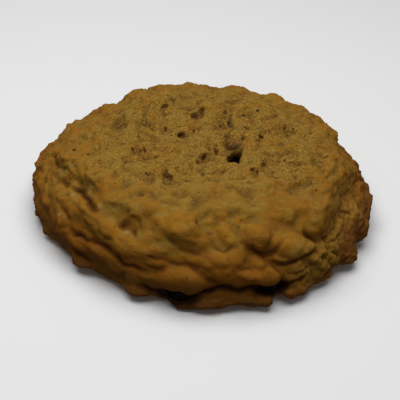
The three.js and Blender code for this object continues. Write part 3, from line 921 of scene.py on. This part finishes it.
def joined(name, shapes, values):
    """One mesh from many shapes, each with its own attribute values."""
    points, faces, start = [], [], 0
    for shape_points, shape_faces in shapes:
        points.append(shape_points)
        faces.extend([[start + i for i in f] for f in shape_faces])
        start += len(shape_points)
    mesh = bpy.data.meshes.new(name)
    mesh.from_pydata(np.concatenate(points) * MM, [], faces)
    for attribute, numbers in values.items():
        add_attribute(mesh, attribute, np.repeat(numbers, [len(s[0]) for s in shapes]))
    mesh.polygons.foreach_set("use_smooth", [True] * len(mesh.polygons))
    return mesh


def make_crumbs(material, points, normals, marks):
    """Loose grains on the upper face, fewer where the photo is out of focus."""
    random = np.random.default_rng(29)
    upper = np.flatnonzero((normals[:, 2] > 0.1) & (points[:, 2] > 3.0))
    hosts = upper[random.integers(len(upper), size=CRUMB_COUNT)]
    hosts = hosts[marks["soft"][hosts] < random.uniform(0.1, 1.2, CRUMB_COUNT)]
    shapes = []
    for at in hosts:
        shape, faces = crumb_shape(random)
        turn = crumb_turn(normals[at], random)
        shapes.append((points[at] + random.uniform(*CRUMB_SIZE) * shape @ turn.T, faces))
    mesh = joined("crumbs", shapes, {name: values[hosts] for name, values in marks.items()})
    mesh.materials.append(material)
    piece = new_object("crumbs", mesh)
    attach(piece, "root")


# ---------------------------------------- materials
def srgb(r, g, b):
    """A colour given as 8-bit screen values, for a shader socket."""
    linear = [((c / 255 + 0.055) / 1.055) ** 2.4 if c > 10 else c / 255 / 12.92 for c in (r, g, b)]
    return (*linear, 1.0)


# the crust, on the sides and on the top; the browner colour below is partly browning and partly painted shade,
# and the warm one is painted warm shade
GOLD = srgb(144, 100, 26)
TOASTED = srgb(131, 87, 25)
TOP_GOLD = srgb(139, 106, 40)
TOP_TOASTED = srgb(141, 98, 30)
LOW_BROWN_AND_SHADE = srgb(127, 78, 19)
REDDISH = srgb(140, 88, 26)
OLIVE = srgb(136, 109, 46)
WARM_SHADE = srgb(146, 84, 24)
LIGHT_FLECK = srgb(186, 148, 68)
DARK_FLECK = srgb(98, 60, 18)
# bare crumb, oats, the baked edge and underside, and the darker low front, partly browning and partly painted
# shade
CRUMB = srgb(126, 101, 44)
BARE_CRUMB = srgb(142, 104, 38)
PALE_OAT = srgb(162, 132, 80)
SKIRT = srgb(108, 64, 24)
LOW_FRONT_BROWN_AND_SHADE = srgb(82, 54, 16)
SOLE = srgb(112, 70, 24)
SOLE_PALE = srgb(132, 88, 36)
SOLE_DARK = srgb(82, 48, 16)
# painted shade in crevices, pits, hollows, creases and dips; in the creases partly browning too
CREVICE_SHADE = srgb(58, 27, 5)
PIT_SHADE = srgb(50, 22, 6)
SHADE = srgb(90, 56, 18)
SOFT_SHADE = srgb(92, 67, 34)
RED_DIP_SHADE = srgb(112, 64, 16)
FOLD_BROWNING_AND_SHADE = srgb(84, 44, 12)
GAP_SHADE = srgb(34, 16, 6)
# raisins: the top one's lighter skin is painted light, the front ones' darker copy is painted shade
RAISIN_DARK = srgb(26, 17, 16)
RAISIN_LIGHT = srgb(60, 42, 38)
SHADED_RAISIN_DARK = srgb(9, 6, 6)
SHADED_RAISIN_LIGHT = srgb(20, 13, 12)


class Nodes:
    """Short calls that add shader nodes to one material."""

    def __init__(self, name):
        self.material = bpy.data.materials.new(name)
        self.material.use_nodes = True
        self.tree = self.material.node_tree
        self.shader = self.tree.nodes["Principled BSDF"]
        self.place = self.tree.nodes.new("ShaderNodeTexCoord").outputs["Object"]

    def put(self, socket, value):
        if isinstance(value, bpy.types.NodeSocket):
            self.tree.links.new(value, socket)
        else:
            socket.default_value = value

    def attribute(self, name):
        node = self.tree.nodes.new("ShaderNodeAttribute")
        node.attribute_name = name
        return node.outputs["Fac"]

    def noise(self, size, detail=3.0, roughness=0.6):
        node = self.tree.nodes.new("ShaderNodeTexNoise")
        self.put(node.inputs["Vector"], self.place)
        node.inputs["Scale"].default_value = 1 / (size * MM)
        node.inputs["Detail"].default_value = detail
        node.inputs["Roughness"].default_value = roughness
        return node.outputs["Fac"]

    def ramp(self, value, low, high, start=0.0, end=1.0):
        """A soft step from start, where the value is low, to end, where it is high."""
        node = self.tree.nodes.new("ShaderNodeMapRange")
        node.interpolation_type = "SMOOTHSTEP"
        self.put(node.inputs["Value"], value)
        for name, number in (("From Min", low), ("From Max", high), ("To Min", start), ("To Max", end)):
            node.inputs[name].default_value = number
        return node.outputs["Result"]

    def math(self, operation, a, b):
        node = self.tree.nodes.new("ShaderNodeMath")
        node.operation = operation
        self.put(node.inputs[0], a)
        self.put(node.inputs[1], b)
        return node.outputs[0]

    def times(self, a, b):
        return self.math("MULTIPLY", a, b)

    def plus(self, a, b):
        return self.math("ADD", a, b)

    def mix(self, share, a, b):
        node = self.tree.nodes.new("ShaderNodeMix")
        node.data_type = "RGBA"
        colours = [socket for socket in node.inputs if socket.type == "RGBA"]
        self.put(node.inputs["Factor"], share)
        self.put(colours[0], a)
        self.put(colours[1], b)
        return [socket for socket in node.outputs if socket.type == "RGBA"][0]

    def bump(self, height, distance, under=None):
        node = self.tree.nodes.new("ShaderNodeBump")
        self.put(node.inputs["Height"], height)
        node.inputs["Distance"].default_value = distance * MM
        node.inputs["Strength"].default_value = 1.0
        if under is not None:
            self.put(node.inputs["Normal"], under)
        return node.outputs["Normal"]


def crust_colour(n, patch):
    """Golden on top and browner below, the browner part partly browning and partly painted shade, with olive
    and reddish patches and paler hollows.
    """
    blotch = n.noise(7.0, 3.0)
    top, low = n.attribute("top"), n.attribute("low")
    colour = n.mix(n.ramp(blotch, 0.35, 0.65), GOLD, TOASTED)
    colour = n.mix(top, colour, n.mix(n.ramp(blotch, 0.5, 0.7), TOP_GOLD, TOP_TOASTED))
    # browner towards the bottom: partly browning, partly painted shade
    colour = n.mix(low, colour, LOW_BROWN_AND_SHADE)
    hue = n.plus(n.times(n.noise(1.4, 3.0, 0.8), 0.6), n.times(n.noise(4.5, 2.0), 0.4))
    colour = n.mix(n.ramp(hue, 0.5, 0.6, 0.0, 0.65), colour, REDDISH)
    colour = n.mix(n.times(n.ramp(hue, 0.5, 0.4, 0.0, 0.75), n.ramp(low, 0.0, 1.0, 1.0, 0.2)), colour, OLIVE)
    hollow = n.ramp(n.plus(n.attribute("wide"), n.times(patch, 0.5)), 0.35, -0.25)
    return n.mix(n.times(hollow, n.ramp(low, 0.0, 1.0, 0.85, 0.2)), colour, CRUMB)


def area_colour(n, colour, patch):
    """Painted warm shade on the faces that turn down; tints of the crumbly side, pale oats and the skirt; and
    a darker low front, partly browning and partly painted shade.
    """
    # painted warm shade on the front's faces that turn down
    colour = n.mix(n.times(n.attribute("turned"), 0.4), colour, WARM_SHADE)
    colour = n.mix(n.times(n.attribute("crumbly"), 0.8), colour, BARE_CRUMB)
    oat = n.plus(n.attribute("flake"), n.ramp(patch, 0.3, 0.7, -0.3, 0.3))
    colour = n.mix(n.ramp(oat, 0.1, 1.1, 0.0, 0.8), colour, PALE_OAT)
    colour = n.mix(n.times(n.attribute("skirt"), 0.9), colour, SKIRT)
    # darker low on the front and left: partly browning, partly painted shade
    return n.mix(n.times(n.attribute("under"), 0.5), colour, LOW_FRONT_BROWN_AND_SHADE)


def hollow_colour(n, colour, fleck):
    """Painted shade: darker colour in crevices, pits, hollows and the front's dips, and where dough covers the
    sky.
    """
    wide = n.attribute("wide")
    # painted shade in crevices and where little of the sky is open
    colour = n.mix(n.ramp(n.attribute("fine"), 0.02, -0.2, 0.0, 0.75), colour, CREVICE_SHADE)
    colour = n.mix(n.ramp(n.attribute("free"), 0.65, 0.2, 0.0, 0.8), colour, CREVICE_SHADE)
    # painted shade in the pits
    pit = n.plus(n.attribute("pit"), n.ramp(n.noise(0.5, 2.0), 0.3, 0.7, -0.3, 0.3))
    colour = n.mix(n.ramp(pit, 0.35, 0.6, 0.0, 0.9), colour, PIT_SHADE)
    shade = n.plus(n.attribute("hollow"), n.ramp(fleck, 0.3, 0.7, 0.25, -0.25))
    tint = n.mix(n.ramp(n.noise(3.5, 1.0), 0.42, 0.56), SHADE, SOFT_SHADE)
    colour = n.mix(n.ramp(shade, 0.2, 0.9, 0.0, 0.6), colour, tint)
    colour = n.mix(n.times(n.ramp(wide, 0.1, -0.45, 0.0, 0.55), n.attribute("top")), colour, SHADE)
    # painted warm shade in the front's dips
    return n.mix(n.times(n.ramp(wide, 0.05, -0.5, 0.0, 0.6), n.attribute("front")), colour, RED_DIP_SHADE)


def fleck_colour(n, colour, fleck, sharp):
    """Light and dark grains of the crust."""
    colour = n.mix(n.times(n.ramp(fleck, 0.5, 0.68, 0.0, 0.6), sharp), colour, LIGHT_FLECK)
    return n.mix(n.times(n.ramp(fleck, 0.46, 0.3, 0.0, 0.85), sharp), colour, DARK_FLECK)


def crease_colour(n, colour):
    """Dark creases, darker where they are deep, partly browning and partly painted shade; and painted shade on
    the dough beside the raisins.
    """
    crease = n.attribute("crease")
    # the creases: partly browning, partly painted shade, near black where deep
    colour = n.mix(n.ramp(crease, 0.1, 0.9, 0.0, 0.7), colour, FOLD_BROWNING_AND_SHADE)
    colour = n.mix(n.ramp(crease, 1.0, 1.9, 0.0, 0.85), colour, GAP_SHADE)
    # painted shade on the dough beside the raisins
    return n.mix(n.times(n.attribute("beside"), 0.9), colour, GAP_SHADE)


def sole_colour(n, colour):
    """The flat underside, browned by the baking tray."""
    sole = n.mix(n.ramp(n.noise(2.2, 4.0, 0.7), 0.35, 0.65), SOLE, SOLE_PALE)
    sole = n.mix(n.ramp(n.noise(0.9, 2.0), 0.56, 0.68, 0.0, 0.6), sole, SOLE_DARK)
    return n.mix(n.attribute("sole"), colour, sole)


def dough_material():
    n = Nodes("baked_dough")
    fleck = n.noise(0.38, 2.0, 0.75)
    patch = n.noise(2.4, 3.0)
    sharp = n.ramp(n.attribute("top"), 0.0, 1.0, 0.4, 1.0)
    sharp = n.times(sharp, n.ramp(n.attribute("soft"), 0.0, 1.0, 1.0, 0.3))
    colour = area_colour(n, crust_colour(n, patch), patch)
    colour = hollow_colour(n, colour, fleck)
    colour = fleck_colour(n, colour, fleck, sharp)
    colour = crease_colour(n, colour)
    n.put(n.shader.inputs["Base Color"], sole_colour(n, colour))
    n.put(n.shader.inputs["Roughness"], n.ramp(n.noise(1.5), 0.3, 0.7, 0.62, 0.9))
    n.shader.inputs["Specular IOR Level"].default_value = 0.07
    n.shader.inputs["Specular Tint"].default_value = (1.0, 0.8, 0.5, 1.0)
    grain = n.times(n.noise(0.9, 4.0, 0.7), n.ramp(n.attribute("front"), 0.0, 1.0, 1.0, 0.4))
    n.put(n.shader.inputs["Normal"], n.bump(n.times(fleck, sharp), 0.3, n.bump(grain, 0.18)))
    return n.material


def raisin_material(name, dark, light, shine):
    n = Nodes(name)
    n.shader.inputs["Specular IOR Level"].default_value = shine
    n.put(n.shader.inputs["Base Color"], n.mix(n.ramp(n.noise(1.2), 0.3, 0.7), dark, light))
    n.put(n.shader.inputs["Roughness"], n.ramp(n.noise(0.9), 0.3, 0.7, 0.28, 0.5))
    n.put(n.shader.inputs["Normal"], n.bump(n.noise(0.7, 4.0), 0.3))
    return n.material


def floor_material():
    n = Nodes("pale_floor")
    n.shader.inputs["Base Color"].default_value = (0.82, 0.82, 0.82, 1)
    n.shader.inputs["Roughness"].default_value = 0.9
    return n.material


# ---------------------------------------- raisins
def make_raisin(node_name, material):
    """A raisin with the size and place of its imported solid, and finer wrinkles."""
    piece = new_object(node_name + "_wrinkled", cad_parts[node_name].data.copy())
    subdivide = piece.modifiers.new("subdivide", "SUBSURF")
    subdivide.levels = 2
    subdivide.render_levels = 2
    piece.data = evaluated_mesh(piece)
    mesh = piece.data
    points = get_points(mesh)
    wrinkles = 1 - np.abs(fractal(warped(points, 1.6, 0.6, 90), 1.3, 91, 2))
    move_points(mesh, points - (0.3 * wrinkles**4)[:, None] * get_normals(mesh))
    mesh.polygons.foreach_set("use_smooth", [True] * len(mesh.polygons))
    mesh.materials.clear()
    mesh.materials.append(material)
    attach(piece, "root")
    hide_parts(node_name)


# ---------------------------------------- floor, light and camera, metres
def make_floor():
    """A pale floor that throws no light back, as the photo's low parts are dark."""
    mesh = bpy.data.meshes.new("floor")
    half = 3.0
    corners = [(-half, -half, 0), (half, -half, 0), (half, half, 0), (-half, half, 0)]
    mesh.from_pydata(corners, [], [(0, 1, 2, 3)])
    mesh.materials.append(floor_material())
    floor = new_object("floor", mesh)
    floor.location.z = -0.00002
    floor.visible_diffuse = False
    floor.visible_glossy = False


def make_light(name, place, size, power):
    data = bpy.data.lights.new(name, "AREA")
    data.shape = "DISK"
    data.size = size
    data.energy = power
    light = new_object(name, data)
    light.location = place
    light.rotation_euler = (TARGET - Vector(place)).to_track_quat("-Z", "Y").to_euler()


def make_world(strength):
    world = bpy.data.worlds.new("room")
    world.use_nodes = True
    background = world.node_tree.nodes["Background"]
    background.inputs["Color"].default_value = (1, 1, 1, 1)
    background.inputs["Strength"].default_value = strength
    bpy.context.scene.world = world


def make_camera():
    """The photo's view: TARGET lies beside the middle of the picture, so the camera aims beside it."""
    data = bpy.data.cameras.new("camera")
    data.sensor_width = SENSOR
    data.lens = PHOTO_FOCAL / PHOTO_SIZE * SENSOR
    camera = new_object("camera", data)
    eye, level = photo_view()
    middle = PHOTO_SIZE / 2
    beside = Vector((middle - PHOTO_TARGET[0], PHOTO_TARGET[1] - middle, 0)) * (DISTANCE / PHOTO_FOCAL)
    aim = (eye - TARGET - level @ beside).to_track_quat("Z", "Y").to_matrix()
    turned = aim @ Matrix.Rotation(ROLL, 3, "Z")
    camera.matrix_world = Matrix.Translation(eye) @ turned.to_4x4()
    bpy.context.scene.camera = camera


make_camera()
dough, dough_points, dough_normals, dough_marks = make_dough()
make_crumbs(dough.data.materials[0], dough_points, dough_normals, dough_marks)
# the raisin in the hole gets a lighter, shinier skin as painted light, the front raisins a darker, duller copy
# as painted shade
make_raisin("raisin_top", raisin_material("raisin_skin", RAISIN_DARK, RAISIN_LIGHT, 0.8))
baked = raisin_material("shaded_raisin_skin", SHADED_RAISIN_DARK, SHADED_RAISIN_LIGHT, 0.35)
make_raisin("raisin_front_left", baked)
make_raisin("raisin_front_right", baked)
make_floor()
make_light("key", (-0.025, 0.005, 0.32), 0.36, 1.08)
make_world(0.18)
bpy.context.scene.view_settings.view_transform = "Standard"
